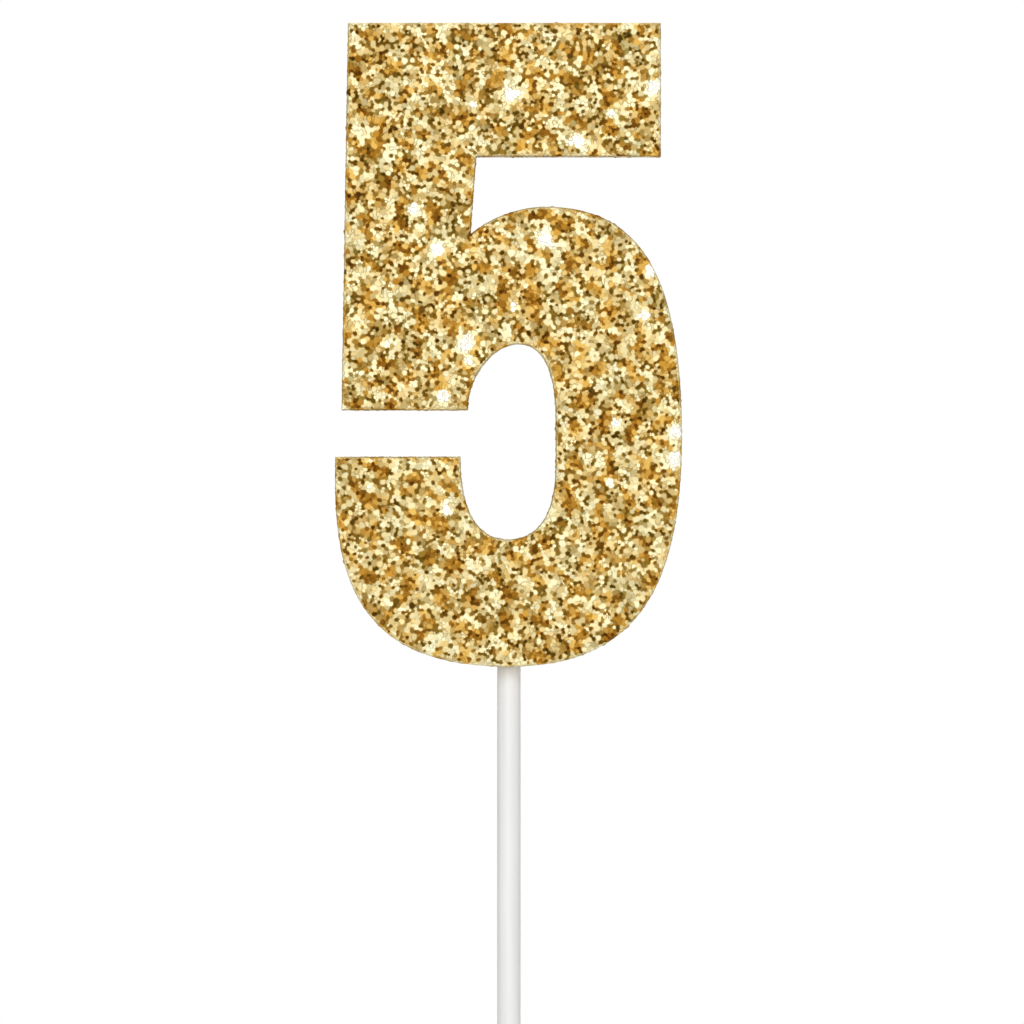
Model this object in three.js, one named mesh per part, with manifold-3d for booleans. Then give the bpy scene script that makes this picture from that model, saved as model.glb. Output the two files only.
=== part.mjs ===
// Number birthday candle: a wax numeral five under a glitter coat, on a white plastic stick.
//
// Millimetres, +Z up along the stick, and the numeral's front faces -Y. The origin is the centre of
// the stick's flat lower end.
import * as THREE from 'three';
import { mergeVertices } from 'three/addons/utils/BufferGeometryUtils.js';
import Module from 'manifold-3d';

const wasm = await Module();
wasm.setup();

// Driving dimensions.
const NUMERAL_DEPTH = 8; // front of the glitter to the back of the glitter
const COAT = 0.35; // thickness of the glitter coat
const COAT_CLEARANCE = 0.05; // between the coat and the wax under it
const FIT_GAP = 0.3; // round each piece that is sunk in the wax
const STICK_DIAMETER = 2.5;
const STICK_SHOWN = 60; // from the lower end to the underside of the numeral
const STICK_SUNK = 11; // hidden in the wax
const WICK_DIAMETER = 1.2;
const CURVE_STEPS = 20; // straight steps in each curve of the outline
const ROUND_STEPS = 24; // sides of the stick and its socket
const WICK_STEPS = 12;

// The outline of the numeral: x from the stick's axis, z up from the numeral's lowest point.
const BAR = { left: -17.5, right: 16.5, top: 70, underside: 55.5 };
const SPINE = { footLeft: -18.2, footRight: -4.5, foot: 27.9, innerTop: -3.6 };
const NOTCH = { x: -4.2, z: 47, riseAngle: 40 };
const BOWL = { crestX: 4, crest: 50, right: 18.8 };
const TAIL = { left: -18.9, right: -5.3, top: 22.8, straight: 3 };
const COUNTER = { bottom: 13.8, right: 5.1, top: 35.1, topX: 1, straight: 5 };

// How full the round stretches are: the share of the way to its corner that each handle reaches.
// An ellipse has 0.55, and a square corner has 1.
const OUTSIDE_FULLNESS = 0.7;
const INSIDE_FULLNESS = 0.65;
const FOOT_FULLNESS = 0.5; // the turn from the counter's top into the foot of the spine

// A curve that leaves its start level and arrives at its end upright.
function levelThenUpright(path, x, z, fullness) {
  const start = path.currentPoint;
  const levelX = start.x + (x - start.x) * fullness;
  const uprightZ = z + (start.y - z) * fullness;
  path.bezierCurveTo(levelX, start.y, x, uprightZ, x, z);
}

// The same curve run the other way: upright at its start, level at its end.
function uprightThenLevel(path, x, z, fullness) {
  const start = path.currentPoint;
  const uprightZ = start.y + (z - start.y) * fullness;
  const levelX = x + (start.x - x) * fullness;
  path.bezierCurveTo(start.x, uprightZ, levelX, z, x, z);
}

// A curve that rises from its start at an angle in degrees and arrives level. Its handles reach a
// third of the way across.
function riseToLevel(path, x, z, angle) {
  const start = path.currentPoint;
  const reach = Math.hypot(x - start.x, z - start.y) / 3;
  const slope = (angle * Math.PI) / 180;
  const handleX = start.x + reach * Math.cos(slope);
  const handleZ = start.y + reach * Math.sin(slope);
  path.bezierCurveTo(handleX, handleZ, x - reach, z, x, z);
}

// The outline, walked once: along the bar, down into the notch, round the bowl and the tail, and
// back through the open counter to the foot of the spine.
function numeralOutline() {
  const bowlMiddle = { x: (TAIL.left + BOWL.right) / 2, z: BOWL.crest / 2 };
  const counterMiddle = { x: (TAIL.right + COUNTER.right) / 2, z: (COUNTER.bottom + COUNTER.top) / 2 };
  const path = new THREE.Path();
  path.moveTo(BAR.left, BAR.top);
  path.lineTo(BAR.right, BAR.top);
  path.lineTo(BAR.right, BAR.underside);
  path.lineTo(SPINE.innerTop, BAR.underside);
  path.lineTo(NOTCH.x, NOTCH.z);
  riseToLevel(path, BOWL.crestX, BOWL.crest, NOTCH.riseAngle);
  levelThenUpright(path, BOWL.right, bowlMiddle.z, OUTSIDE_FULLNESS);
  uprightThenLevel(path, bowlMiddle.x, 0, OUTSIDE_FULLNESS);
  levelThenUpright(path, TAIL.left, TAIL.top - TAIL.straight, OUTSIDE_FULLNESS);
  path.lineTo(TAIL.left, TAIL.top);
  path.lineTo(TAIL.right, TAIL.top);
  uprightThenLevel(path, counterMiddle.x, COUNTER.bottom, INSIDE_FULLNESS);
  levelThenUpright(path, COUNTER.right, counterMiddle.z - COUNTER.straight / 2, INSIDE_FULLNESS);
  path.lineTo(COUNTER.right, counterMiddle.z + COUNTER.straight / 2);
  uprightThenLevel(path, COUNTER.topX, COUNTER.top, INSIDE_FULLNESS);
  levelThenUpright(path, SPINE.footRight, SPINE.foot, FOOT_FULLNESS);
  path.lineTo(SPINE.footLeft, SPINE.foot);
  const points = path.getPoints(CURVE_STEPS);
  return THREE.ShapeUtils.isClockWise(points) ? points.reverse() : points;
}

// The outline moved inward by a distance, corner by corner, so that every wall keeps its thickness.
function inset(points, distance) {
  return points.map((point, index) => {
    const before = points[(index + points.length - 1) % points.length];
    const after = points[(index + 1) % points.length];
    const arriving = point.clone().sub(before).normalize();
    const leaving = after.clone().sub(point).normalize();
    const inwardBefore = new THREE.Vector2(-arriving.y, arriving.x);
    const inwardAfter = new THREE.Vector2(-leaving.y, leaving.x);
    const reach = distance / (1 + inwardBefore.dot(inwardAfter));
    return point.clone().add(inwardBefore.add(inwardAfter).multiplyScalar(reach));
  });
}

// A flat slab of the numeral's shape, standing upright and centred front to back.
function slab(points, depth, hole) {
  const shape = new THREE.Shape(points);
  if (hole) shape.holes.push(new THREE.Path(hole));
  const geometry = new THREE.ExtrudeGeometry(shape, { depth, bevelEnabled: false });
  return geometry.rotateX(Math.PI / 2).translate(0, depth / 2, 0);
}

function toSolid(geometry) {
  const bare = geometry.clone();
  bare.deleteAttribute('normal');
  bare.deleteAttribute('uv');
  const merged = mergeVertices(bare);
  const vertProperties = new Float32Array(merged.attributes.position.array);
  const triVerts = new Uint32Array(merged.index.array);
  return new wasm.Manifold(new wasm.Mesh({ numProp: 3, vertProperties, triVerts }));
}

function toGeometry(solid) {
  const mesh = solid.getMesh();
  const geometry = new THREE.BufferGeometry();
  geometry.setAttribute('position', new THREE.BufferAttribute(mesh.vertProperties, 3));
  geometry.setIndex(new THREE.BufferAttribute(mesh.triVerts, 1));
  geometry.computeVertexNormals();
  return geometry;
}

function cut(geometry, ...tools) {
  const solid = tools.reduce((left, tool) => left.subtract(toSolid(tool)), toSolid(geometry));
  return toGeometry(solid);
}

// An upright round hole, from one height to another.
function roundHole(diameter, x, bottom, top, steps) {
  const height = top - bottom;
  const geometry = new THREE.CylinderGeometry(diameter / 2, diameter / 2, height, steps);
  return geometry.rotateX(Math.PI / 2).translate(x, 0, bottom + height / 2);
}

function material(color, roughness, metalness) {
  return new THREE.MeshStandardMaterial({ color, roughness, metalness });
}

function named(name, geometry, look) {
  const mesh = new THREE.Mesh(geometry, look);
  mesh.name = name;
  return mesh;
}

const outline = numeralOutline();
const coatInside = inset(outline, COAT);
const waxOutline = inset(outline, COAT + COAT_CLEARANCE);
const waxDepth = NUMERAL_DEPTH - 2 * (COAT + COAT_CLEARANCE);
const socketDiameter = STICK_DIAMETER + 2 * FIT_GAP;
const socketTop = STICK_SUNK + FIT_GAP;
const belowEverything = -5;
const aboveTheBand = 5; // clear of the edge band's lower wall

// The wick stands in the middle of the spine, in a small well that keeps its tip below the bar's top.
const wick = {
  x: (BAR.left + SPINE.innerTop) / 2,
  bottom: SPINE.foot + 4,
  top: BAR.top - 0.25,
  wellWidth: 3.4,
  wellDepth: 1.6,
};

function wickWell() {
  const aboveTheBar = 1;
  const tall = wick.wellDepth + aboveTheBar;
  const geometry = new THREE.BoxGeometry(wick.wellWidth, wick.wellWidth, tall);
  return geometry.translate(wick.x, 0, BAR.top - wick.wellDepth + tall / 2);
}

// The moulded wax core, with the stick's socket in its underside and the wick's channel in its spine.
function waxBody() {
  const channelBottom = wick.bottom - FIT_GAP;
  const geometry = cut(
    slab(waxOutline, waxDepth),
    roundHole(socketDiameter, 0, belowEverything, socketTop, ROUND_STEPS),
    roundHole(WICK_DIAMETER + 2 * FIT_GAP, wick.x, channelBottom, BAR.top, WICK_STEPS),
    wickWell(),
  );
  return named('wax_body', geometry, material(0xe3b96a, 0.55, 0));
}

// One face of the glitter coat. It reaches to the numeral's edge, over the end of the edge band.
function glitterFace(name, y) {
  const mesh = named(name, slab(outline, COAT), material(0xd0a85a, 0.35, 0.7));
  mesh.position.y = y;
  return mesh;
}

// The band of glitter round the edge, open for the stick below and for the wick's well above.
function glitterEdge() {
  const bandDepth = NUMERAL_DEPTH - 2 * (COAT + COAT_CLEARANCE);
  const geometry = cut(
    slab(outline, bandDepth, coatInside),
    roundHole(socketDiameter, 0, belowEverything, aboveTheBand, ROUND_STEPS),
    wickWell(),
  );
  return named('glitter_edge', geometry, material(0xd0a85a, 0.35, 0.7));
}

// The braided cotton wick, with its cut tip standing in the well.
function wickCord() {
  const radius = WICK_DIAMETER / 2;
  const geometry = new THREE.CylinderGeometry(radius, radius, wick.top - wick.bottom, WICK_STEPS);
  geometry.rotateX(Math.PI / 2);
  const mesh = named('wick', geometry, material(0xf1ead8, 0.9, 0));
  mesh.position.set(wick.x, 0, (wick.top + wick.bottom) / 2);
  return mesh;
}

// The stick: a short taper up from a flat tip, a plain round shaft, and anchor grooves under a
// domed top where the wax holds it.
function stick() {
  const radius = STICK_DIAMETER / 2;
  const tip = { radius: 0.7, taper: 3 };
  const groove = { count: 3, depth: 0.25, width: 0.9, pitch: 2.6, first: STICK_SHOWN + 2.4, lip: 0.2 };
  const domeSteps = 5;
  const top = STICK_SHOWN + STICK_SUNK;
  const profile = [new THREE.Vector2(0, 0), new THREE.Vector2(tip.radius, 0)];
  profile.push(new THREE.Vector2(radius, tip.taper));
  for (let ring = 0; ring < groove.count; ring += 1) {
    const low = groove.first + ring * groove.pitch;
    const high = low + groove.width;
    profile.push(new THREE.Vector2(radius, low));
    profile.push(new THREE.Vector2(radius - groove.depth, low + groove.lip));
    profile.push(new THREE.Vector2(radius - groove.depth, high - groove.lip));
    profile.push(new THREE.Vector2(radius, high));
  }
  for (let step = 0; step < domeSteps; step += 1) {
    const angle = (step / domeSteps) * (Math.PI / 2);
    profile.push(new THREE.Vector2(radius * Math.cos(angle), top - radius + radius * Math.sin(angle)));
  }
  profile.push(new THREE.Vector2(0, top));
  const geometry = new THREE.LatheGeometry(profile, ROUND_STEPS).rotateX(Math.PI / 2);
  return named('stick', geometry, material(0xf1f1f1, 0.4, 0));
}

// The numeral and what is set in it, lifted onto the top of the shown length of stick.
function numeral() {
  const faceOffset = (NUMERAL_DEPTH - COAT) / 2;
  const group = new THREE.Group();
  group.add(waxBody(), glitterFace('glitter_front', -faceOffset), glitterFace('glitter_back', faceOffset));
  group.add(glitterEdge(), wickCord());
  group.position.z = STICK_SHOWN;
  return group;
}

const candle = new THREE.Group();
candle.add(numeral(), stick());

export default candle;
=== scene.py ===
"""Number birthday candle: the looks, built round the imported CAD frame.

The glitter is real geometry. Each coat is one closed skin of small flat flakes, every one tilted its own
way, with narrow grooves between them. The flakes are the cells round the points of a triangulation.
"""

import math

import bmesh
import bpy
import numpy as np
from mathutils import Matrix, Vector
from mathutils.geometry import delaunay_2d_cdt
from mathutils.kdtree import KDTree

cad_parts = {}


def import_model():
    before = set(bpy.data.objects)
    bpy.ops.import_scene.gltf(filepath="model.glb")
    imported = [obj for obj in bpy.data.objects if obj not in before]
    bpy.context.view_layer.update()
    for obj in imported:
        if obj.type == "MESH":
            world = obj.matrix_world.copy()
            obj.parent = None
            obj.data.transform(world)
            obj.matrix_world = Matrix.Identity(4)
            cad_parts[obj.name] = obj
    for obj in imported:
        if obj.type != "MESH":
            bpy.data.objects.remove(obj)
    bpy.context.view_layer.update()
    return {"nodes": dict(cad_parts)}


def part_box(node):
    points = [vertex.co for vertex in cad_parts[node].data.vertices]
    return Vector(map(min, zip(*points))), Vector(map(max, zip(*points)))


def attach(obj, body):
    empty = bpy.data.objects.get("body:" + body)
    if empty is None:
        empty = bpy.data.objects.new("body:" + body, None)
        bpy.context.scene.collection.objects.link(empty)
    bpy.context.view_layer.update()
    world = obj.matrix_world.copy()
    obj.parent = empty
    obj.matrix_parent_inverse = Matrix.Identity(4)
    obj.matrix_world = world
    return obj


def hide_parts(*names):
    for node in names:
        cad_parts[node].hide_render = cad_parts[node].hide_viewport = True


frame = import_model()

MM = 0.001

# The glitter coat, in millimetres.
PITS = (0.15, 0.12)  # radius, and throws in flakes that would cover the face
LARGE_FLAKES = ((0.33, 1.0), (0.265, 1.8), (0.205, 3.0))
SMALLEST_FLAKE = 0.09
GAP_ROUNDS = 2  # how often the gaps between the flakes are filled with smaller ones
FLAKE_OVERLAP = 0.88  # how near two flakes may lie, in sums of their radii
RIM_PITCH = 0.50  # between the flakes along an edge
FLAKE_SHRINK = 0.30  # share of its size that a flake gives up to the groove round it
FLAKE_TILT = 7.0  # degrees, the usual tilt of a flake
STEEPEST_TILT = 22.0
FLAKE_RISE = 0.03  # how much higher or lower one flake sits than the next
SMALL_FLAKE_SINK = 0.05  # how much deeper the smallest flakes lie
SMALL_FROM = 0.20  # a flake under this radius starts to count as small
SMALL_SPAN = 0.055  # and is wholly small this much further down
PAINTED_GLINT_AREA = 95.0  # square millimetres to each cluster of painted highlight
COAT = 0.35
COAT_BACK = 0.37  # how deep the coat's hidden back lies
EDGE_ROUND = 0.45  # how far in from its edge the coat starts to curl over
FACE_DROP = 0.22  # how far a face's coat has curled down at its edge
BAND_DROP = 0.05
FIT = 0.01  # the hair's breadth between two pieces that touch
LOOSE_FIT = 5 * FIT  # round the stick in the edge band, and round the wick in its channel
MITRE_REACH = 1.15  # how far from a corner its mitre is felt, in coat thicknesses
CORNER_TURN = math.radians(25)  # a sharper turn than this in the outline is a corner

# How tone and warmth are spread over the flakes. Both run from 0 to 1, and sizes are in millimetres.
TONE_DRIFTS = ((9.0, 0.04), (3.0, 0.09), (1.4, 0.09))  # size and strength
USUAL_TONE = 0.74
TONE_SPREAD = 0.06
PALEST_TONE = 0.90  # outside the painted highlight clusters
# Small flakes lie deeper, and their tone is lowered this much more as painted shade.
SMALL_FLAKE_PAINTED_SHADE = 0.10
AMBER_PATCHES = ((3.0, 1.0), (1.5, 0.6))  # size and strength
AMBER_FROM = 0.3  # where in those patches the amber starts
AMBER_TONE_LOSS = 0.26
# Flakes and pits painted dark as painted shade, as if lying low or turned away from the light.
PAINTED_SHADE_SHARE = 0.02  # of the large flakes
SMALL_PAINTED_SHADE_SHARE = 0.30  # more of the small ones
PAINTED_SHADE_TONES = (0.06, 0.36)
PAINTED_SHADE_DRIFT = 0.4  # how much of the drift a flake in painted shade takes part in
USUAL_WARMTH = 0.30
WARMTH_DRIFT = (6.0, 0.15)  # size and strength
WARMTH_SPREAD = 0.13
AMBER_WARMTH = 0.8
# Clusters of flakes painted near white: painted highlight that stands in for glints.
PAINTED_GLINT_RADII = (0.4, 1.0)
PAINTED_GLINT_REACH = 1.7  # how far from its middle a painted highlight cluster has faded out, in its own radii

# The wick's well and the wick, in millimetres.
WELL_RADIUS = 1.6
WELL_DEPTH = 1.5
STRANDS = 3
STRAND_RADIUS = 0.27
STRAND_STEPS = 260
BRAID_LAY = 3.2  # height of one turn of the braid
BRAID_FLATNESS = 0.75
SPLAY = 0.35  # how far the cut end spreads, as a share of the braid's width
SPLAY_HEIGHT = 0.6
FIBRES = 14
FIBRE_ROOT = 0.35  # how far below the cut end the loose fibres start
FIBRE_SPREAD = 0.3  # and how far from the wick's middle

# The stick, in millimetres.
STICK_SIDES = 96
TIP_RADIUS = 0.7
TIP_NOSE = 0.15  # rounding of the tip's edge
TIP_TAPER = 3.0
TAPER_RINGS = 10
SHAFT_RINGS = 24
GROOVES = 3
FIRST_GROOVE = 2.4  # above the numeral's underside
GROOVE_DEPTH = 0.25
GROOVE_WIDTH = 0.9
GROOVE_PITCH = 2.6
PARTING_RIDGE = 0.03
RIDGE_WIDTH = 0.05  # radians round the stick

# The picture's framing, in heights of the numeral.
AIM_RIGHT = 0.0047  # of the stick's axis
AIM_UP = 0.24  # from the numeral's underside
PICTURE_WIDTH = 1.594


# ---------------------------------------------------------------- the numeral's outline


def front_outline(node):
    """The boundary of a CAD slab's front face, as an anticlockwise list of (x, z) in millimetres."""
    mesh = frame["nodes"][node].data
    front = min(v.co.y for v in mesh.vertices)
    sides = set()
    for face in mesh.polygons:
        corners = [mesh.vertices[i].co for i in face.vertices]
        if max(c.y for c in corners) - front > 1e-6:
            continue
        keys = [(round(c.x / MM, 4), round(c.z / MM, 4)) for c in corners]
        sides.update(zip(keys, keys[1:] + keys[:1]))
    after = {start: end for start, end in sides if (end, start) not in sides}
    loop = [min(after)]
    while after[loop[-1]] != loop[0]:
        loop.append(after[loop[-1]])
    return loop if signed_area(loop) > 0 else loop[::-1]


def signed_area(loop):
    x, z = np.array(loop).T
    return float((x * np.roll(z, -1) - np.roll(x, -1) * z).sum() / 2)


def turns(points):
    """The angle that the outline turns through at each of its points."""
    arriving = points - np.roll(points, 1, axis=0)
    leaving = np.roll(points, -1, axis=0) - points
    cross = arriving[:, 0] * leaving[:, 1] - arriving[:, 1] * leaving[:, 0]
    return np.arctan2(cross, (arriving * leaving).sum(axis=1))


def heading(before, here, after):
    """The outline's direction at a point, halfway between its two sides' directions."""
    arriving = (here - before) / max(np.linalg.norm(here - before), 1e-9)
    leaving = (after - here) / max(np.linalg.norm(after - here), 1e-9)
    mean = arriving + leaving
    return mean / np.linalg.norm(mean)


def smoothed(loop, steps=4):
    """The outline with its round stretches made finer, and its corners and straight lines kept."""
    points = np.array(loop)
    corner = np.abs(turns(points)) > CORNER_TURN
    count = len(points)
    finer = []
    for i in range(count):
        here, there = points[i], points[(i + 1) % count]
        before = here if corner[i] else points[i - 1]
        beyond = there if corner[(i + 1) % count] else points[(i + 2) % count]
        reach = np.linalg.norm(there - here)
        leave = heading(before, here, there) * reach
        arrive = heading(here, there, beyond) * reach
        for step in range(steps):
            t = step / steps
            bulge = (1 - t) ** 2 * t * leave - t * t * (1 - t) * arrive
            finer.append(here + (there - here) * t * t * (3 - 2 * t) + bulge)
    return [tuple(p) for p in finer]


class Route:
    """A closed outline measured by the distance walked along it."""

    def __init__(self, loop):
        self.points = np.array(loop)
        onward = np.roll(self.points, -1, axis=0) - self.points
        self.lengths = np.linalg.norm(onward, axis=1)
        self.starts = np.concatenate([[0], np.cumsum(self.lengths)])
        self.length = float(self.starts[-1])
        self.along = onward / self.lengths[:, None]
        self.outward = np.stack([self.along[:, 1], -self.along[:, 0]], axis=1)
        before = np.roll(self.outward, 1, axis=0)
        self.miter = (self.outward + before) / (1 + (self.outward * before).sum(axis=1))[:, None]
        self.corner = np.abs(turns(self.points)) > CORNER_TURN

    def step(self, u):
        """Which side of the outline distance u falls on, and how far along that side."""
        u = u % self.length
        i = min(int(np.searchsorted(self.starts, u, side="right")) - 1, len(self.points) - 1)
        return i, u - self.starts[i]

    def at(self, u):
        i, rest = self.step(u)
        return self.points[i] + self.along[i] * rest

    def lift(self, u):
        """Which way a coat 1 thick stands out at distance u. It is mitred at the corners."""
        i, rest = self.step(u)
        after = (i + 1) % len(self.points)
        length = self.lengths[i]
        blend = COAT * MITRE_REACH
        start = max(0.0, 1 - rest / blend) if self.corner[i] else 1 - rest / length
        end = max(0.0, 1 - (length - rest) / blend) if self.corner[after] else rest / length
        plain = self.outward[i]
        return plain + (self.miter[i] - plain) * start + (self.miter[after] - plain) * end

    def nearest(self, x, z):
        """The distance along the outline of its point nearest to (x, z)."""
        trial = np.linspace(0, self.length, 4000, endpoint=False)
        gaps = [np.hypot(*(self.at(u) - (x, z))) for u in trial]
        return float(trial[int(np.argmin(gaps))])

    def corners(self):
        return [float(u) for u, is_corner in zip(self.starts, self.corner) if is_corner]

    def inset(self, distance):
        return [tuple(p - m * distance) for p, m in zip(self.points, self.miter)]


def evenly(loop, pitch):
    """The outline again, with points about a pitch apart and one on each corner."""
    route = Route(loop)
    stops = route.corners() or [0.0]
    result = []
    for start, end in zip(stops, stops[1:] + [stops[0] + route.length]):
        count = max(1, round((end - start) / pitch))
        result += [tuple(route.at(start + (end - start) * k / count)) for k in range(count)]
    return result


def circle(x, z, radius, count):
    angles = [2 * math.pi * k / count for k in range(count)]
    return [(x + radius * math.cos(a), z + radius * math.sin(a)) for a in angles]


# ---------------------------------------------------------------- flakes


def inside(points, loop):
    """For each point, whether the loop holds it."""
    x, z = np.array(points).T
    ax, az = np.array(loop).T
    bx, bz = np.roll(ax, -1), np.roll(az, -1)
    crosses = (az[None, :] > z[:, None]) != (bz[None, :] > z[:, None])
    slope = (bx - ax) / np.where(bz == az, 1e-12, bz - az)
    hit = ax[None, :] + (z[:, None] - az[None, :]) * slope[None, :] > x[:, None]
    return (crosses & hit).sum(axis=1) % 2 == 1


def held(points, rim, holes):
    """For each point, whether it lies inside the rim and outside every hole."""
    keep = inside(points, rim)
    for hole in holes:
        keep &= ~inside(points, hole)
    return keep


class Strewn:
    """Flakes laid down one by one, as a centre and a radius each, kept apart from one another."""

    def __init__(self):
        self.points = []
        self.radii = []
        self.squares = {}
        self.square = 2 * LARGE_FLAKES[0][0]

    def add(self, u, v, radius):
        home = (int(u // self.square), int(v // self.square))
        self.squares.setdefault(home, []).append(len(self.points))
        self.points.append((u, v))
        self.radii.append(radius)

    def has_room(self, u, v, radius):
        row, column = int(u // self.square), int(v // self.square)
        for i in (row - 1, row, row + 1):
            for j in (column - 1, column, column + 1):
                for k in self.squares.get((i, j), ()):
                    near = FLAKE_OVERLAP * (radius + self.radii[k])
                    other_u, other_v = self.points[k]
                    if (u - other_u) ** 2 + (v - other_v) ** 2 < near * near:
                        return False
        return True


def triangulated(points, edges, rim, holes):
    """Triangles between the points, inside the rim and off the holes, as anticlockwise rows of three."""
    _, _, faces, source, _, _ = delaunay_2d_cdt([Vector(p) for p in points], edges, [], 0, 1e-7)
    index = [origin[0] if origin else -1 for origin in source]
    known = [face for face in faces if all(index[i] >= 0 for i in face)]
    triangles = np.array([[index[i] for i in face] for face in known])
    return triangles[held(points[triangles].mean(axis=1), rim, holes)]


def thrown(corners, area, radius, tries, rng):
    """Random points over the triangles, as many as it takes to cover them that many times with flakes."""
    first, second, third = corners.transpose(1, 0, 2)
    sizes = np.abs(np.cross(second - first, third - first))
    picked = rng.choice(len(corners), int(tries * area / (math.pi * radius**2)), p=sizes / sizes.sum())
    s = np.sqrt(rng.uniform(0, 1, (len(picked), 1)))
    t = rng.uniform(0, 1, (len(picked), 1))
    return (first[picked] * (1 - s) + second[picked] * s * (1 - t) + third[picked] * s * t).tolist()


def gaps(points, radii, triangles):
    """The middle of the gap between each three flakes, and the radius that fits there. Widest first."""
    first, second, third = (points[triangles[:, k]] for k in range(3))
    b, c = second - first, third - first
    cross = 2 * (b[:, 0] * c[:, 1] - b[:, 1] * c[:, 0])
    bb, cc = (b * b).sum(axis=1), (c * c).sum(axis=1)
    centre = np.stack([c[:, 1] * bb - b[:, 1] * cc, b[:, 0] * cc - c[:, 0] * bb], axis=1)
    centre = centre / cross[:, None]
    fits = np.hypot(*centre.T) - radii[triangles].mean(axis=1)
    widest = np.argsort(-fits)
    widest = widest[fits[widest] > SMALLEST_FLAKE]
    return (centre + first)[widest], fits[widest]


def strew(rim, holes, rng):
    """Flake centres and radii over the rim's inside. The points of the rim and the holes come first."""
    strewn = Strewn()
    edges = []
    for loop in [rim, *holes]:
        first = len(strewn.points)
        edges += [(first + i, first + (i + 1) % len(loop)) for i in range(len(loop))]
        for u, v in loop:
            strewn.add(u, v, RIM_PITCH / 2)
    area = signed_area(rim) - sum(signed_area(hole) for hole in holes)
    points = np.array(strewn.points)
    ground = points[triangulated(points, edges, rim, holes)]
    for radius, tries in (PITS, *LARGE_FLAKES):
        for u, v in thrown(ground, area, radius, tries, rng):
            if strewn.has_room(u, v, radius):
                strewn.add(u, v, radius)
    for _ in range(GAP_ROUNDS):
        points, radii = np.array(strewn.points), np.array(strewn.radii)
        middles, fits = gaps(points, radii, triangulated(points, edges, rim, holes))
        within = held(middles, rim, holes)
        for (u, v), fit in zip(middles[within].tolist(), fits[within].tolist()):
            radius = min(fit, LARGE_FLAKES[-1][0])
            if strewn.has_room(u, v, radius):
                strewn.add(u, v, radius)
    return np.array(strewn.points), np.array(strewn.radii), edges


def waves(points, size, rng, count=24):
    """A smooth random field over the points, about 1 strong, with patches of that size in millimetres."""
    total = np.zeros(len(points))
    for _ in range(count):
        way = rng.uniform(0, 2 * math.pi)
        pace = 2 * math.pi / (size * rng.uniform(0.7, 1.5))
        phase = rng.uniform(0, 2 * math.pi)
        total += np.sin(points @ (pace * np.array([math.cos(way), math.sin(way)])) + phase)
    return total * math.sqrt(2 / count)


def smallness(radii):
    """0 for a large flake, 1 for one of the smallest."""
    return np.clip((SMALL_FROM - radii) / SMALL_SPAN, 0, 1)


def flake_tones(points, radii, rng):
    """How bright and how warm each flake is, from 0 to 1.

    Large flakes are pale and drift in brightness, and small ones are a little darker as painted shade.
    The pits, many small flakes and a few large ones are dark as painted shade, some patches are amber,
    and here and there a cluster of flakes is painted near white as painted highlight.
    """
    count = len(points)
    small = smallness(radii)
    drift = sum(strength * waves(points, size, rng) for size, strength in TONE_DRIFTS)
    # Small flakes lose tone as painted shade, on top of the real shade from lying deeper.
    tone = USUAL_TONE + drift + rng.normal(0, TONE_SPREAD, count) - SMALL_FLAKE_PAINTED_SHADE * small
    tone = np.minimum(tone, PALEST_TONE)
    patch = sum(strength * waves(points, size, rng) for size, strength in AMBER_PATCHES)
    amber = np.clip(patch - AMBER_FROM, 0, 1)
    tone -= AMBER_TONE_LOSS * amber
    # Painted shade: the pits, many small flakes and a few large ones get a dark tone.
    painted_shade = rng.uniform(0, 1, count) < PAINTED_SHADE_SHARE + SMALL_PAINTED_SHADE_SHARE * small
    painted_shade |= np.abs(radii - PITS[0]) < 1e-6
    tone = np.where(painted_shade, rng.uniform(*PAINTED_SHADE_TONES, count) + PAINTED_SHADE_DRIFT * drift, tone)
    size, strength = WARMTH_DRIFT
    warmth = USUAL_WARMTH + strength * waves(points, size, rng) + rng.normal(0, WARMTH_SPREAD, count)
    warmth = np.clip(warmth + AMBER_WARMTH * amber, 0, 1)
    low, high = points.min(axis=0), points.max(axis=0)
    # Painted highlight: clusters of flakes brightened towards white, as if glinting.
    for _ in range(int(np.prod(high - low) / PAINTED_GLINT_AREA)):
        middle = rng.uniform(low, high)
        away = np.hypot(*(points - middle).T) / rng.uniform(*PAINTED_GLINT_RADII)
        tone += (1.0 - tone) * np.clip(PAINTED_GLINT_REACH - away, 0, 1)
    return np.clip(tone, 0.0, 1.0), warmth


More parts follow.
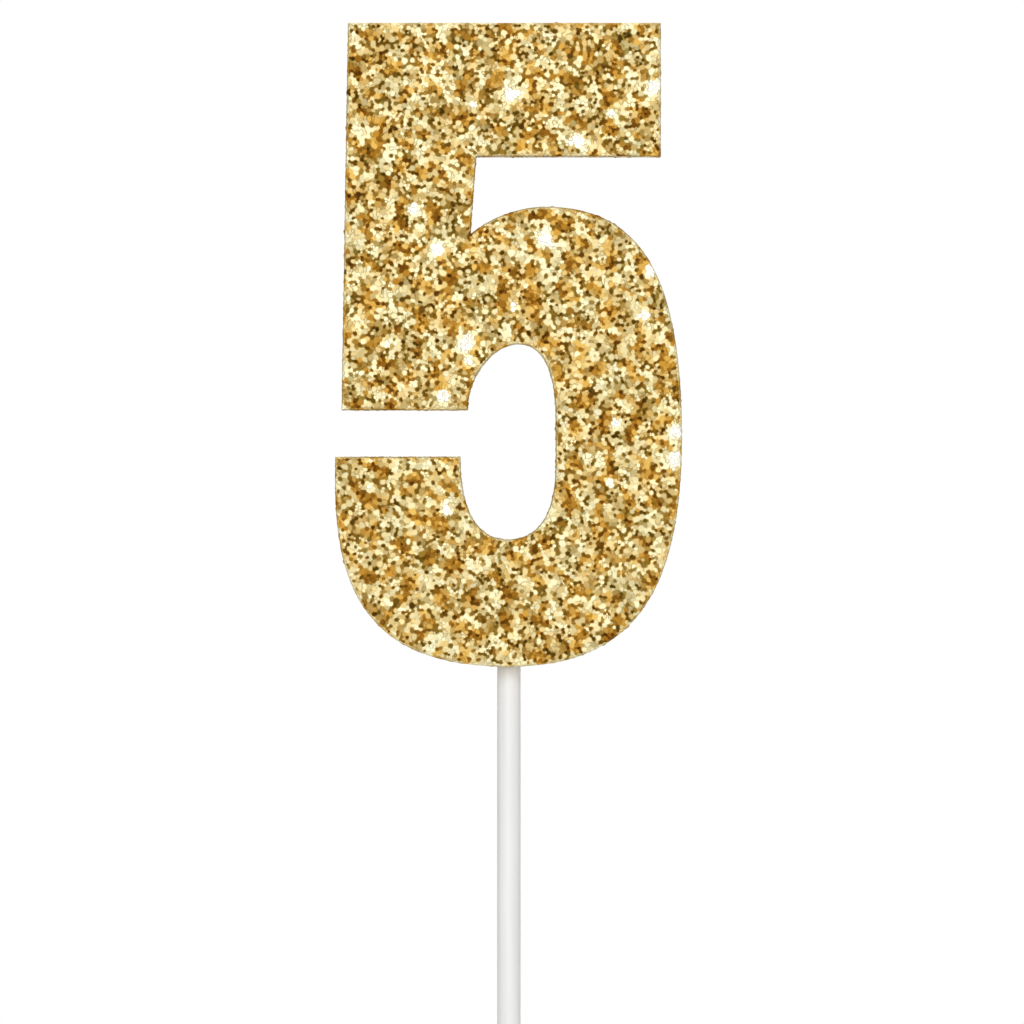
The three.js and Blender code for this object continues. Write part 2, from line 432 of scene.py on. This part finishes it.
class Crust:
    """One coat of glitter, as a closed skin of tilted flakes.

    The coat is laid out on a flat pattern. place(u, v, height) gives the point in millimetres for a place
    on that pattern and a height over it.
    """

    def __init__(self, rim, holes, place, drop, seed):
        rng = np.random.RandomState(seed)
        self.place = place
        self.drop = drop
        points, radii, edges = strew(rim, holes, rng)
        triangles = triangulated(points, edges, rim, holes)
        tones, warmths = flake_tones(points, radii, rng)
        tilt = rng.rayleigh(FLAKE_TILT, len(points)) * (1.4 - tones)
        slope = np.tan(np.radians(np.minimum(tilt, STEEPEST_TILT)))
        way = rng.uniform(0, 2 * math.pi, len(points))
        rise = rng.uniform(-FLAKE_RISE, FLAKE_RISE, len(points)) - SMALL_FLAKE_SINK * smallness(radii)
        self.centres = points.tolist()
        self.slopes = np.stack([slope * np.cos(way), slope * np.sin(way)], axis=1).tolist()
        self.levels = rise.tolist()
        self.tones, self.warmths = tones.tolist(), warmths.tolist()
        pull = 1 / radii[triangles]
        middles = (points[triangles] * pull[:, :, None]).sum(axis=1) / pull.sum(axis=1)[:, None]
        self.middles = middles.tolist()
        self.triangles = triangles.tolist()
        self.vertices, self.pattern, self.looks = [], [], []
        self.faces, self.shown = [], []
        self.join()
        self.make_front()
        self.make_edges()
        self.make_flakes()
        self.make_back()

    def join(self):
        """Which triangle owns each directed side, and which sides have nothing beyond them."""
        self.owner = {}
        for t, (a, b, c) in enumerate(self.triangles):
            self.owner.update({(a, b): t, (b, c): t, (c, a): t})
        self.open_sides = sorted(side for side in self.owner if side[::-1] not in self.owner)
        self.edge_tree = KDTree(len(self.open_sides))
        for i, (start, _) in enumerate(self.open_sides):
            self.edge_tree.insert((*self.centres[start], 0), i)
        self.edge_tree.balance()

    def add(self, u, v, height, tone, warmth=0.5):
        self.vertices.append(self.place(u, v, height))
        self.pattern.append((u, v))
        self.looks.append((tone, warmth))
        return len(self.vertices) - 1

    def add_face(self, corners, shown=True):
        self.faces.append(tuple(corners))
        self.shown.append(shown)

    def towards(self, point, flake, share):
        """The point, moved that share of the way to the flake's centre."""
        centre = self.centres[flake]
        return tuple(p + (c - p) * share for p, c in zip(point, centre))

    def on_flake(self, point, flake):
        """A vertex on the flake's tilted plane, drawn in from the point to leave the groove."""
        u, v = self.towards(point, flake, FLAKE_SHRINK)
        inward = min(1.0, self.edge_tree.find((u, v, 0))[2] / EDGE_ROUND)
        centre_u, centre_v = self.centres[flake]
        slope_u, slope_v = self.slopes[flake]
        height = self.levels[flake] + slope_u * (u - centre_u) + slope_v * (v - centre_v)
        height = height * inward - self.drop * (1 - inward) ** 2
        return self.add(u, v, height, self.tones[flake], self.warmths[flake])

    def make_front(self):
        """The grooves: a triangle where three flakes meet, and a strip where two do."""
        self.top = {}
        for t, triangle in enumerate(self.triangles):
            for flake in triangle:
                self.top[t, flake] = self.on_flake(self.middles[t], flake)
            self.add_face([self.top[t, flake] for flake in triangle])
        for (a, b), t in self.owner.items():
            s = self.owner.get((b, a))
            if s is not None and a < b:
                self.add_face([self.top[t, b], self.top[t, a], self.top[s, a], self.top[s, b]])

    def make_edges(self):
        """The thin wall round the coat's outer edge and round each hole."""
        self.half_top, self.half_back, self.rim_top, self.back = {}, {}, {}, {}
        for a, b in self.open_sides:
            middle = tuple((p + q) / 2 for p, q in zip(self.centres[a], self.centres[b]))
            for flake in (a, b):
                u, v = self.towards(middle, flake, 2 * FLAKE_SHRINK)
                look = (self.tones[flake], self.warmths[flake])
                self.half_top[a, b, flake] = self.add(u, v, -self.drop, *look)
                self.half_back[a, b, flake] = self.add(u, v, -COAT_BACK, *look)
            self.rim_top[a] = self.add(*self.centres[a], -self.drop, self.tones[a], self.warmths[a])
        for flake in sorted({corner for triangle in self.triangles for corner in triangle}):
            look = (self.tones[flake], self.warmths[flake])
            self.back[flake] = self.add(*self.centres[flake], -COAT_BACK, *look)
        for a, b in self.open_sides:
            t = self.owner[a, b]
            upper = [self.rim_top[a], self.half_top[a, b, a], self.half_top[a, b, b], self.rim_top[b]]
            lower = [self.back[a], self.half_back[a, b, a], self.half_back[a, b, b], self.back[b]]
            self.add_face([self.top[t, a], upper[1], upper[2], self.top[t, b]])
            for k in range(3):
                self.add_face([upper[k], lower[k], lower[k + 1], upper[k + 1]], shown=False)

    def make_flakes(self):
        """Each flake's own face: the ring of its corners, anticlockwise."""
        before = {(t, b): a for (a, b), t in self.owner.items()}
        first_triangle = {}
        for (a, _), t in self.owner.items():
            first_triangle.setdefault(a, t)
        rim_next = dict(self.open_sides)
        rim_before = {b: a for a, b in self.open_sides}
        for flake, t in first_triangle.items():
            ring = []
            if flake in rim_next:
                t = self.owner[flake, rim_next[flake]]
                ring = [self.half_top[flake, rim_next[flake], flake]]
            first = t
            while t is not None:
                ring.append(self.top[t, flake])
                t = self.owner.get((flake, before[t, flake]))
                if t == first:
                    break
            if flake in rim_next:
                ring += [self.half_top[rim_before[flake], flake, flake], self.rim_top[flake]]
            self.add_face(ring)

    def make_back(self):
        open_sides = set(self.open_sides)
        for a, b, c in self.triangles:
            ring = []
            for start, end in ((a, b), (b, c), (c, a)):
                ring.append(self.back[start])
                if (start, end) in open_sides:
                    ring += [self.half_back[start, end, start], self.half_back[start, end, end]]
            self.add_face(reversed(ring), shown=False)

    def piece(self, name, material, rows=1):
        """The coat as a Blender object. Its UV map lays the pattern out in that many rows."""
        mesh = bpy.data.meshes.new(name)
        mesh.from_pydata([Vector(v) * MM for v in self.vertices], [], self.faces)
        for label, values in zip(("tone", "warmth"), zip(*self.looks)):
            mesh.attributes.new(label, "FLOAT", "POINT").data.foreach_set("value", values)
        self.lay_out(mesh, rows)
        mesh.materials.append(material)
        return link(name, mesh)

    def lay_out(self, mesh, rows):
        """The shown faces go row under row. The hidden ones share a strip along the map's top."""
        strip, margin = 0.95, 1.0
        pattern = np.array(self.pattern)
        low, span = pattern.min(axis=0), np.ptp(pattern, axis=0)
        row_length = span[0] / rows
        row_height = span[1] + margin
        scale = min(0.99 / (row_length + 2 * margin), (strip - 0.01) / (rows * row_height))
        sizes = [len(face) for face in self.faces]
        corners = pattern[[i for face in self.faces for i in face]] - low
        starts = np.cumsum([0] + sizes[:-1])
        middle = np.add.reduceat(corners[:, 0], starts) / sizes
        row = np.repeat(np.minimum(rows - 1, middle // row_length), sizes)
        shown = np.repeat(self.shown, sizes)[:, None]
        in_row = (corners + np.stack([margin - row * row_length, row * row_height], axis=1)) * scale
        in_strip = corners / span * (0.99, 0.04) + (0.005, strip + 0.005)
        layer = mesh.uv_layers.new(name="OFBake").uv
        layer.foreach_set("vector", np.where(shown, in_row, in_strip).ravel().tolist())


def link(name, mesh):
    piece = bpy.data.objects.new(name, mesh)
    bpy.context.scene.collection.objects.link(piece)
    return piece


# ---------------------------------------------------------------- materials


def new_material(name):
    """A material with its nodes, their links and its Principled shader."""
    material = bpy.data.materials.new(name)
    material.use_nodes = True
    nodes = material.node_tree.nodes
    shader = next(n for n in nodes if n.type == "BSDF_PRINCIPLED")
    return material, nodes, material.node_tree.links, shader


def linear(code):
    """Linear colour from a web colour code."""
    values = [int(code[i : i + 2], 16) / 255 for i in (1, 3, 5)]
    return [v / 12.92 if v <= 0.04045 else ((v + 0.055) / 1.055) ** 2.4 for v in values] + [1.0]


def colour_ramp(nodes, *stops):
    """A ramp node through the given (place, web colour) stops."""
    ramp = nodes.new("ShaderNodeValToRGB")
    elements = ramp.color_ramp.elements
    while len(elements) < len(stops):
        elements.new(0.5)
    for element, (place, code) in zip(elements, stops):
        element.position = place
        element.color = linear(code)
    return ramp


def attribute(nodes, name):
    node = nodes.new("ShaderNodeAttribute")
    node.attribute_name = name
    return node.outputs["Fac"]


def noise(nodes, links, scale, detail=3.0, stretch=(1, 1, 1)):
    """A noise texture over the object's own coordinates, in patches of 1 / scale metres."""
    place = nodes.new("ShaderNodeTexCoord")
    mapping = nodes.new("ShaderNodeMapping")
    mapping.inputs["Scale"].default_value = stretch
    texture = nodes.new("ShaderNodeTexNoise")
    texture.inputs["Scale"].default_value = scale
    texture.inputs["Detail"].default_value = detail
    links.new(place.outputs["Object"], mapping.inputs["Vector"])
    links.new(mapping.outputs["Vector"], texture.inputs["Vector"])
    return texture.outputs["Fac"]


def bump(nodes, links, shader, height, strength, distance):
    node = nodes.new("ShaderNodeBump")
    node.inputs["Strength"].default_value = strength
    node.inputs["Distance"].default_value = distance
    links.new(height, node.inputs["Height"])
    links.new(node.outputs["Normal"], shader.inputs["Normal"])


def ranged(nodes, links, value, low, high):
    """A value from 0 to 1 mapped onto low to high."""
    node = nodes.new("ShaderNodeMapRange")
    node.inputs["To Min"].default_value = low
    node.inputs["To Max"].default_value = high
    links.new(value, node.inputs["Value"])
    return node.outputs["Result"]


def glitter_material():
    """Gold foil flakes in clear lacquer. Each flake's tone and warmth pick its colour; the lowest tones
    are painted shade and the palest are painted highlight.
    """
    material, nodes, links, shader = new_material("gold_glitter")
    tone = attribute(nodes, "tone")
    # The ramps' dark stops colour the flakes in painted shade, and their top stops colour the painted
    # highlight clusters.
    gold = colour_ramp(
        nodes,
        (0.00, "#443200"),
        (0.15, "#6A5006"),
        (0.30, "#92782C"),
        (0.48, "#AE9A60"),
        (0.64, "#CCBC88"),
        (0.80, "#E0D5A6"),
        (0.90, "#E8DFB6"),
        (1.00, "#F6F4E4"),
    )
    amber = colour_ramp(
        nodes,
        (0.00, "#4A2800"),
        (0.15, "#764800"),
        (0.30, "#9C6A16"),
        (0.48, "#BE8B2E"),
        (0.64, "#D6AD56"),
        (0.80, "#E5C984"),
        (0.90, "#E9D9A8"),
        (1.00, "#F6F1E0"),
    )
    links.new(tone, gold.inputs["Fac"])
    links.new(tone, amber.inputs["Fac"])
    mix = nodes.new("ShaderNodeMix")
    mix.data_type = "RGBA"
    links.new(attribute(nodes, "warmth"), mix.inputs["Factor"])
    links.new(gold.outputs["Color"], mix.inputs["A"])
    links.new(amber.outputs["Color"], mix.inputs["B"])
    links.new(mix.outputs["Result"], shader.inputs["Base Color"])
    links.new(ranged(nodes, links, tone, 0.55, 0.40), shader.inputs["Roughness"])
    shader.inputs["Metallic"].default_value = 0.5
    shader.inputs["Specular IOR Level"].default_value = 0.15
    bump(nodes, links, shader, noise(nodes, links, 2500.0), 0.25, 0.03 * MM)
    return material


def wax_material():
    """Gold-tinted paraffin wax: soft, faintly mottled, with a satin skin."""
    material, nodes, links, shader = new_material("tinted_wax")
    ramp = colour_ramp(nodes, (0.30, "#C79A4C"), (0.55, "#DDB56A"), (0.75, "#E8C684"))
    links.new(noise(nodes, links, 700.0, 4.0), ramp.inputs["Fac"])
    links.new(ramp.outputs["Color"], shader.inputs["Base Color"])
    links.new(ranged(nodes, links, noise(nodes, links, 1500.0), 0.35, 0.6), shader.inputs["Roughness"])
    shader.inputs["Subsurface Weight"].default_value = 0.3
    shader.inputs["Subsurface Radius"].default_value = (1.0, 0.6, 0.25)
    shader.inputs["Subsurface Scale"].default_value = 1.5 * MM
    bump(nodes, links, shader, noise(nodes, links, 900.0, 2.0), 0.3, 0.05 * MM)
    return material


def cotton_material():
    """Waxed cotton: off-white, with painted shade in the lows between its fibres."""
    material, nodes, links, shader = new_material("waxed_cotton")
    fibre = noise(nodes, links, 9000.0, 4.0, stretch=(1, 1, 0.15))
    # The colour darkens where the fibre height is low, the same height as the bump: painted shade in the
    # lows.
    ramp = colour_ramp(nodes, (0.25, "#B9AC8C"), (0.5, "#E6DDC4"), (0.8, "#F6F1E2"))
    links.new(fibre, ramp.inputs["Fac"])
    links.new(ramp.outputs["Color"], shader.inputs["Base Color"])
    links.new(ranged(nodes, links, fibre, 0.8, 0.95), shader.inputs["Roughness"])
    shader.inputs["Sheen Weight"].default_value = 0.3
    bump(nodes, links, shader, fibre, 0.6, 0.04 * MM)
    return material


def stick_material():
    """White moulded plastic, satin, with faint flow marks along its length."""
    material, nodes, links, shader = new_material("white_plastic")
    flow = noise(nodes, links, 900.0, 3.0, stretch=(1, 1, 0.06))
    ramp = colour_ramp(nodes, (0.3, "#F1F1F0"), (0.7, "#F8F8F7"))
    links.new(flow, ramp.inputs["Fac"])
    links.new(ramp.outputs["Color"], shader.inputs["Base Color"])
    links.new(ranged(nodes, links, flow, 0.32, 0.46), shader.inputs["Roughness"])
    bump(nodes, links, shader, flow, 0.15, 0.02 * MM)
    return material


def floor_material():
    material, nodes, links, shader = new_material("pale_floor")
    ramp = colour_ramp(nodes, (0.3, "#F4F4F4"), (0.7, "#F6F6F5"))
    links.new(noise(nodes, links, 40.0), ramp.inputs["Fac"])
    links.new(ramp.outputs["Color"], shader.inputs["Base Color"])
    shader.inputs["Roughness"].default_value = 0.8
    return material


# ---------------------------------------------------------------- pieces


def stands_for(piece, node):
    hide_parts(node)
    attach(piece, "root")
    return piece


def face_coat(name, node, rim, seed, material):
    """The glitter over one face of the numeral."""
    low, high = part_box(node)
    outer = low.y / MM if low.y < 0 else high.y / MM
    outward = math.copysign(1, outer)

    def place(u, v, height):
        return u, outer + outward * height, v

    crust = Crust(rim, [], place, FACE_DROP, seed)
    piece = crust.piece(name, material)
    if outward > 0:
        piece.data.flip_normals()
    return stands_for(piece, node)


def edge_coat(name, node, route, wick_x, seed, material, rows=7):
    """The glitter round the numeral's edge, laid out as one long strip that starts at a corner."""
    low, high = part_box(node)
    half = high.y / MM
    low_corner = (low.x / MM, low.z / MM)
    start = min(route.corners(), key=lambda u: np.hypot(*(route.at(u) - low_corner)))
    strip = [(0, -half), (route.length, -half), (route.length, half), (0, half)]
    stick_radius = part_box("stick")[1].x / MM
    entry = (route.nearest(0, low.z / MM) - start) % route.length
    well = (route.nearest(wick_x, high.z / MM) - start) % route.length
    holes = [circle(entry, 0, stick_radius + LOOSE_FIT, 28), circle(well, 0, WELL_RADIUS, 30)]

    def place(u, v, height):
        x, z = route.at(start + u) + route.lift(start + u) * height
        return x, -v, z

    crust = Crust(evenly(strip, RIM_PITCH), holes, place, BAND_DROP, seed)
    return stands_for(crust.piece(name, material, rows), node)


def lathe(name, profile, sides, swell=None):
    """A closed solid of revolution about Z.

    Its profile is a list of (radius, height) points that starts and ends on the axis.
    """
    vertices = [(0, 0, profile[0][1]), (0, 0, profile[-1][1])]
    faces = []
    rings = []
    for radius, height in profile[1:-1]:
        ring = []
        for k in range(sides):
            angle = 2 * math.pi * k / sides
            r = radius + (swell(angle, height) if swell else 0)
            ring.append(len(vertices))
            vertices.append((r * math.cos(angle), r * math.sin(angle), height))
        rings.append(ring)
    for k in range(sides):
        after = (k + 1) % sides
        faces.append((0, rings[0][after], rings[0][k]))
        faces.append((1, rings[-1][k], rings[-1][after]))
        for lower, upper in zip(rings, rings[1:]):
            faces.append((lower[k], lower[after], upper[after], upper[k]))
    mesh = bpy.data.meshes.new(name)
    mesh.from_pydata([Vector(v) * MM for v in vertices], [], faces)
    mesh.polygons.foreach_set("use_smooth", [True] * len(faces))
    return link(name, mesh)


def arc(centre_radius, centre_height, radius, start, end, steps):
    """(radius, height) points on an arc, with its angles in degrees from level."""
    points = []
    for k in range(steps + 1):
        angle = math.radians(start + (end - start) * k / steps)
        across = centre_radius + radius * math.cos(angle)
        points.append((across, centre_height + radius * math.sin(angle)))
    return points


def stick_piece(material):
    """The stick: a blunt tapered tip, a long shaft with a parting ridge on each side, and a domed top."""
    low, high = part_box("stick")
    radius, bottom, top = high.x / MM, low.z / MM, high.z / MM
    numeral_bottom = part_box("glitter_edge")[0].z / MM
    profile = [(0, bottom)]
    profile += arc(TIP_RADIUS - TIP_NOSE, bottom + TIP_NOSE, TIP_NOSE, -90, -12, 5)
    for k in range(1, TAPER_RINGS + 1):
        t = k / TAPER_RINGS
        width = TIP_RADIUS + (radius - TIP_RADIUS) * math.sin(t * math.pi / 2)
        profile.append((width, bottom + TIP_NOSE + (TIP_TAPER - TIP_NOSE) * t))
    for k in range(1, SHAFT_RINGS):
        climb = (numeral_bottom - bottom - TIP_TAPER) * k / SHAFT_RINGS
        profile.append((radius, bottom + TIP_TAPER + climb))
    for groove in range(GROOVES):
        start = numeral_bottom + FIRST_GROOVE + groove * GROOVE_PITCH
        for share, depth in ((0, 0), (0.2, 0.8), (0.4, 1), (0.6, 1), (0.8, 0.8), (1, 0)):
            profile.append((radius - GROOVE_DEPTH * depth, start + GROOVE_WIDTH * share))
    profile += arc(0, top - radius, radius, 0, 80, 8)
    profile.append((0, top))

    def ridge(angle, height):
        """The parting ridge on both sides, fading in over 2 mm above the tip."""
        off_line = abs(math.remainder(angle, math.pi))
        fade = min(1.0, max(0.0, (height - bottom - 0.5) / 2))
        return PARTING_RIDGE * math.exp(-((off_line / RIDGE_WIDTH) ** 2)) * fade

    piece = lathe("stick_rod", profile, STICK_SIDES, ridge)
    piece.data.materials.append(material)
    return stands_for(piece, "stick")


def tube(path, radii, sides=10):
    """Vertices and faces of a closed tube along a list of points, in millimetres."""
    vertices, faces = [], []
    for i, (point, radius) in enumerate(zip(path, radii)):
        ahead = path[min(i + 1, len(path) - 1)] - path[max(i - 1, 0)]
        turn = ahead.to_track_quat("Z", "Y")
        for k in range(sides):
            angle = 2 * math.pi * k / sides
            spoke = Vector((radius * math.cos(angle), radius * math.sin(angle), 0))
            vertices.append(point + turn @ spoke)
    for i in range(len(path) - 1):
        for k in range(sides):
            after = (k + 1) % sides
            faces.append((i * sides + k, i * sides + after, (i + 1) * sides + after, (i + 1) * sides + k))
    faces.append(tuple(reversed(range(sides))))
    last = (len(path) - 1) * sides
    faces.append(tuple(range(last, last + sides)))
    return vertices, faces


def wick_piece(material):
    """The wick: three strands braided together, cut square and a little frayed at the top."""
    low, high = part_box("wick")
    centre = (low + high) / 2 / MM
    bottom, top = low.z / MM, high.z / MM
    half_width = (high.x - low.x) / 2 / MM - STRAND_RADIUS
    vertices, faces = [], []

    def add_tube(path, radii, sides):
        more, rings = tube(path, radii, sides)
        faces.extend(tuple(len(vertices) + i for i in ring) for ring in rings)
        vertices.extend(more)

    for strand in range(STRANDS):
        path, radii = [], []
        for k in range(STRAND_STEPS + 1):
            height = bottom + (top - bottom) * k / STRAND_STEPS
            phase = 2 * math.pi * (height / BRAID_LAY + strand / STRANDS)
            splay = 1 + SPLAY * max(0.0, 1 - (top - height) / SPLAY_HEIGHT)
            x = centre.x + half_width * math.sin(phase) * splay
            y = centre.y + half_width * BRAID_FLATNESS * math.sin(2 * phase) * splay
            path.append(Vector((x, y, height)))
            radii.append(STRAND_RADIUS * (0.9 if k in (0, STRAND_STEPS) else 1.0))
        add_tube(path, radii, 10)
    rng = np.random.RandomState(3)
    for _ in range(FIBRES):
        angle = rng.uniform(0, 2 * math.pi)
        lean = rng.uniform(0.15, 0.5)
        rise = rng.uniform(0.3, 0.5)
        away_x = math.cos(angle)
        away_y = math.sin(angle)
        root_x = centre.x + FIBRE_SPREAD * away_x
        root_y = centre.y + FIBRE_SPREAD * away_y
        root = Vector((root_x, root_y, top - FIBRE_ROOT))
        reach = Vector((away_x * lean, away_y * lean, rise))
        path = [root + reach * t + Vector((0, 0, -0.15 * t * t)) for t in (0, 0.35, 0.7, 1.0)]
        add_tube(path, [0.022, 0.02, 0.016, 0.01], 5)
    mesh = bpy.data.meshes.new("braided_wick")
    mesh.from_pydata([v * MM for v in vertices], [], faces)
    mesh.polygons.foreach_set("use_smooth", [True] * len(faces))
    piece = link("braided_wick", mesh)
    piece.data.materials.append(material)
    return stands_for(piece, "wick")


def prism(name, loop, front, back):
    """A closed upright prism between two depths, from an outline in millimetres."""
    shape = bmesh.new()
    bottom = shape.faces.new([shape.verts.new(Vector((x, front, z)) * MM) for x, z in loop])
    grown = bmesh.ops.extrude_face_region(shape, geom=[bottom])
    moved = [v for v in grown["geom"] if isinstance(v, bmesh.types.BMVert)]
    bmesh.ops.translate(shape, verts=moved, vec=(0, (back - front) * MM, 0))
    bmesh.ops.recalc_face_normals(shape, faces=shape.faces)
    mesh = bpy.data.meshes.new(name)
    shape.to_mesh(mesh)
    shape.free()
    return link(name, mesh)


def carve(piece, cutters):
    """Cuts the cutters out of the piece for good, and removes them."""
    for cutter in cutters:
        modifier = piece.modifiers.new("cut", "BOOLEAN")
        modifier.object = cutter
        modifier.operation = "DIFFERENCE"
        modifier.solver = "EXACT"
    solid = piece.evaluated_get(bpy.context.evaluated_depsgraph_get())
    mesh = bpy.data.meshes.new_from_object(solid)
    shape = bmesh.new()
    shape.from_mesh(mesh)
    bmesh.ops.dissolve_degenerate(shape, dist=0.001 * MM, edges=shape.edges)
    shape.to_mesh(mesh)
    shape.free()
    mesh.name = piece.name
    piece.modifiers.clear()
    piece.data = mesh
    for cutter in cutters:
        bpy.data.objects.remove(cutter)


def wax_piece(wick_x, material):
    """The wax core: a socket round the stick, a channel round the wick, and a melted dimple at its top."""
    low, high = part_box("glitter_edge")
    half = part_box("glitter_front")[1].y / MM
    outline = smoothed(Route(front_outline("glitter_front")).inset(COAT + FIT))
    core = prism("wax_core", outline, half + FIT, -half - FIT)
    stick_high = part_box("stick")[1]
    radius, stick_top = stick_high.x / MM + FIT, stick_high.z / MM + FIT
    bottom, top = low.z / MM, high.z / MM
    below = bottom - 2
    socket = lathe("socket_cut", [(0, below), (radius, below), (radius, stick_top), (0, stick_top)], 48)
    wick_low, wick_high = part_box("wick")
    width = (wick_high.x - wick_low.x) / 2 / MM + LOOSE_FIT
    wick_bottom = wick_low.z / MM - FIT
    channel = lathe("channel_cut", [(0, wick_bottom), (width, wick_bottom), (width, top), (0, top)], 32)
    dimple = [(r * WELL_RADIUS, top + h * WELL_DEPTH) for r, h in arc(0, 0, 1, -90, 0, 12)]
    dimple += [(WELL_RADIUS, top + 2), (0, top + 2)]
    well = lathe("well_cut", dimple, 48)
    for cutter in (channel, well):
        cutter.location.x = wick_x * MM
    bpy.context.view_layer.update()
    carve(core, [socket, channel, well])
    core.data.materials.clear()
    core.data.materials.append(material)
    return stands_for(core, "wax_body")


# ---------------------------------------------------------------- studio


def floor(material, radius=0.6):
    """A plain round floor under the stick's tip."""
    shape = bmesh.new()
    bmesh.ops.create_circle(shape, cap_ends=True, segments=128, radius=radius)
    mesh = bpy.data.meshes.new("floor")
    shape.to_mesh(mesh)
    shape.free()
    mesh.materials.append(material)
    link("floor", mesh)


def world(light_level):
    """A white surround, seen at full strength and lighting the object at the given level."""
    studio = bpy.data.worlds.new("studio")
    bpy.context.scene.world = studio
    studio.use_nodes = True
    nodes, links = studio.node_tree.nodes, studio.node_tree.links
    lit = next(n for n in nodes if n.type == "BACKGROUND")
    lit.inputs["Color"].default_value = (light_level, light_level, light_level, 1)
    seen = nodes.new("ShaderNodeBackground")
    seen.inputs["Color"].default_value = (1, 1, 1, 1)
    path = nodes.new("ShaderNodeLightPath")
    mix = nodes.new("ShaderNodeMixShader")
    out = next(n for n in nodes if n.type == "OUTPUT_WORLD")
    links.new(path.outputs["Is Camera Ray"], mix.inputs["Fac"])
    links.new(lit.outputs[0], mix.inputs[1])
    links.new(seen.outputs[0], mix.inputs[2])
    links.new(mix.outputs[0], out.inputs["Surface"])


def softbox(name, place, aim, size, power):
    """A square light of that size in metres and that power in watts, turned towards its aim."""
    light = bpy.data.lights.new(name, "AREA")
    light.size = size
    light.energy = power
    lamp = bpy.data.objects.new(name, light)
    lamp.location = place
    lamp.rotation_euler = (Vector(aim) - Vector(place)).to_track_quat("-Z", "Y").to_euler()
    lamp.visible_camera = False
    bpy.context.scene.collection.objects.link(lamp)


def camera(aim, across):
    """A long lens far off, level with its aim, that sees a square of that width at the numeral."""
    data = bpy.data.cameras.new("camera")
    data.lens = 700
    data.sensor_width = 36
    data.clip_end = 100
    eye = bpy.data.objects.new("camera", data)
    eye.location = (aim[0], aim[1] - across * data.lens / data.sensor_width, aim[2])
    eye.rotation_euler = (math.pi / 2, 0, 0)
    bpy.context.scene.collection.objects.link(eye)
    bpy.context.scene.camera = eye


# ---------------------------------------------------------------- the candle

outline = smoothed(front_outline("glitter_front"))
route = Route(outline)
rim = evenly(outline, RIM_PITCH)
wick_low, wick_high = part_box("wick")
wick_x = (wick_low.x + wick_high.x) / 2 / MM

glitter = glitter_material()
face_coat("glitter_face_front", "glitter_front", rim, 5, glitter)
face_coat("glitter_face_back", "glitter_back", rim, 55, glitter)
edge_coat("glitter_edge_band", "glitter_edge", route, wick_x, 555, glitter)
wax_piece(wick_x, wax_material())
wick_piece(cotton_material())
stick_piece(stick_material())

numeral_low, numeral_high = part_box("glitter_front")
numeral_height = numeral_high.z - numeral_low.z
aim = Vector((AIM_RIGHT * numeral_height, 0, numeral_low.z + AIM_UP * numeral_height))
floor(floor_material())
world(light_level=0.36)
softbox("front", (-0.15, -2.8, 0.7), aim, size=2.4, power=49)
softbox("behind", (0.3, 2.8, 0.9), aim, size=2.4, power=35)
softbox("top", (0.1, 0.1, 1.4), aim, size=0.8, power=5)
camera(aim, PICTURE_WIDTH * numeral_height)
bpy.context.scene.view_settings.view_transform = "Standard"
